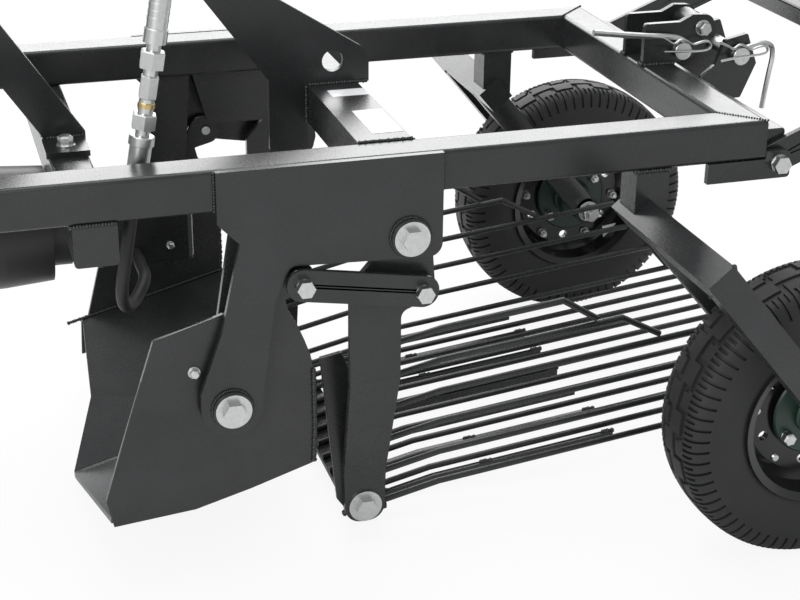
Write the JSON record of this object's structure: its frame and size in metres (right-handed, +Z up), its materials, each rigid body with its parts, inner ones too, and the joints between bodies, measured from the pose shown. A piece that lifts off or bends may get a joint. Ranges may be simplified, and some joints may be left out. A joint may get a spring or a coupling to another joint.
{
  "type": "potato digger",
  "caption": "Mounted potato digger: a swinging share and a shaking rod sieve under a welded tube frame with a three-point headstock, shaft drive and two rear wheels.",
  "frame": {"origin": "on the floor, under the middle of the whole machine", "axes": "+X towards the rear of the machine, +Y to its right-hand side when looking forwards along -X, +Z up"},
  "size_m": [1.6626, 1.225, 1.0859],
  "materials": {
    "black_paint": "satin",
    "rim_paint": "gloss",
    "green_paint": "satin",
    "tyre_rubber": "matte",
    "hose_rubber": "matte",
    "zinc": "zinc plated",
    "bright_steel": "machined",
    "black_plastic": "satin"
  },
  "bodies": {
    "frame": {"axles": "bright_steel", "drive_shaft": "bright_steel", "front_cross_tube": "black_paint", "gearbox": "black_paint", "hanger_pivots": "zinc", "headstock_mast": "black_paint", "headstock_tubes": "black_paint", "hose": "hose_rubber", "hose_fittings": "zinc", "inner_brackets": "black_paint", "left_beam": "black_paint", "left_side_plate": "black_paint", "left_wheel_carrier": "black_paint", "lock_bracket": "black_paint", "lock_pin": "zinc", "lock_tube": "black_paint", "lower_lugs": "black_paint", "lower_pins": "zinc", "mast_brace": "black_paint", "mast_strap": "black_paint", "mid_cross_tube": "black_paint", "rear_arms": "black_paint", "rear_cross_bar": "black_paint", "rear_cross_tube": "black_paint", "rear_hinge_bolts": "zinc", "rear_hinge_plates": "black_paint", "right_beam": "black_paint", "right_side_plate": "black_paint", "right_wheel_carrier": "black_paint", "shaft_guard": "black_plastic", "share_pivots": "zinc", "tail_lugs": "black_paint", "tail_pin": "zinc"},
    "share": {"front_link_bolts": "zinc", "left_share_side": "black_paint", "right_share_side": "black_paint", "share_blade": "black_paint"},
    "sieve": {"foot_bolts": "zinc", "left_hanger": "black_paint", "rear_link_bolts": "zinc", "right_hanger": "black_paint", "sieve_bars": "black_paint", "sieve_brackets": "black_paint", "sieve_front_bar": "black_paint", "sieve_rods": "black_paint", "sieve_walls": "black_paint"},
    "links": {"links": "black_paint"},
    "left_wheel": {"left_hub": "green_paint", "left_rim": "rim_paint", "left_tyre": "tyre_rubber"},
    "right_wheel": {"right_hub": "green_paint", "right_rim": "rim_paint", "right_tyre": "tyre_rubber"}
  },
  "joints": [
    {"name": "sieve_swing", "type": "hinge", "parent": "frame", "child": "sieve", "pos_m": [-0.052, 0, 0.526], "axis": [0, 1, 0], "range_deg": [-2.5, 2.5]},
    {"name": "share_swing", "type": "hinge", "parent": "frame", "child": "share", "pos_m": [-0.312, 0, 0.293], "axis": [0, 1, 0], "range_deg": [-1.25, 1.25]},
    {"name": "link_swing", "type": "hinge", "parent": "sieve", "child": "links", "pos_m": [-0.035, 0, 0.444], "axis": [0, 1, 0], "range_deg": [-2, 2]},
    {"name": "left_wheel_spin", "type": "hinge", "parent": "frame", "child": "left_wheel", "pos_m": [0.548, -0.479, 0.23], "axis": [0, 1, 0], "continuous": true},
    {"name": "right_wheel_spin", "type": "hinge", "parent": "frame", "child": "right_wheel", "pos_m": [0.548, 0.479, 0.23], "axis": [0, 1, 0], "continuous": true}
  ],
  "couplings": [
    {"joint": "share_swing", "follows": "sieve_swing", "ratio": -0.4009},
    {"joint": "link_swing", "follows": "sieve_swing", "ratio": -0.6607}
  ]
}
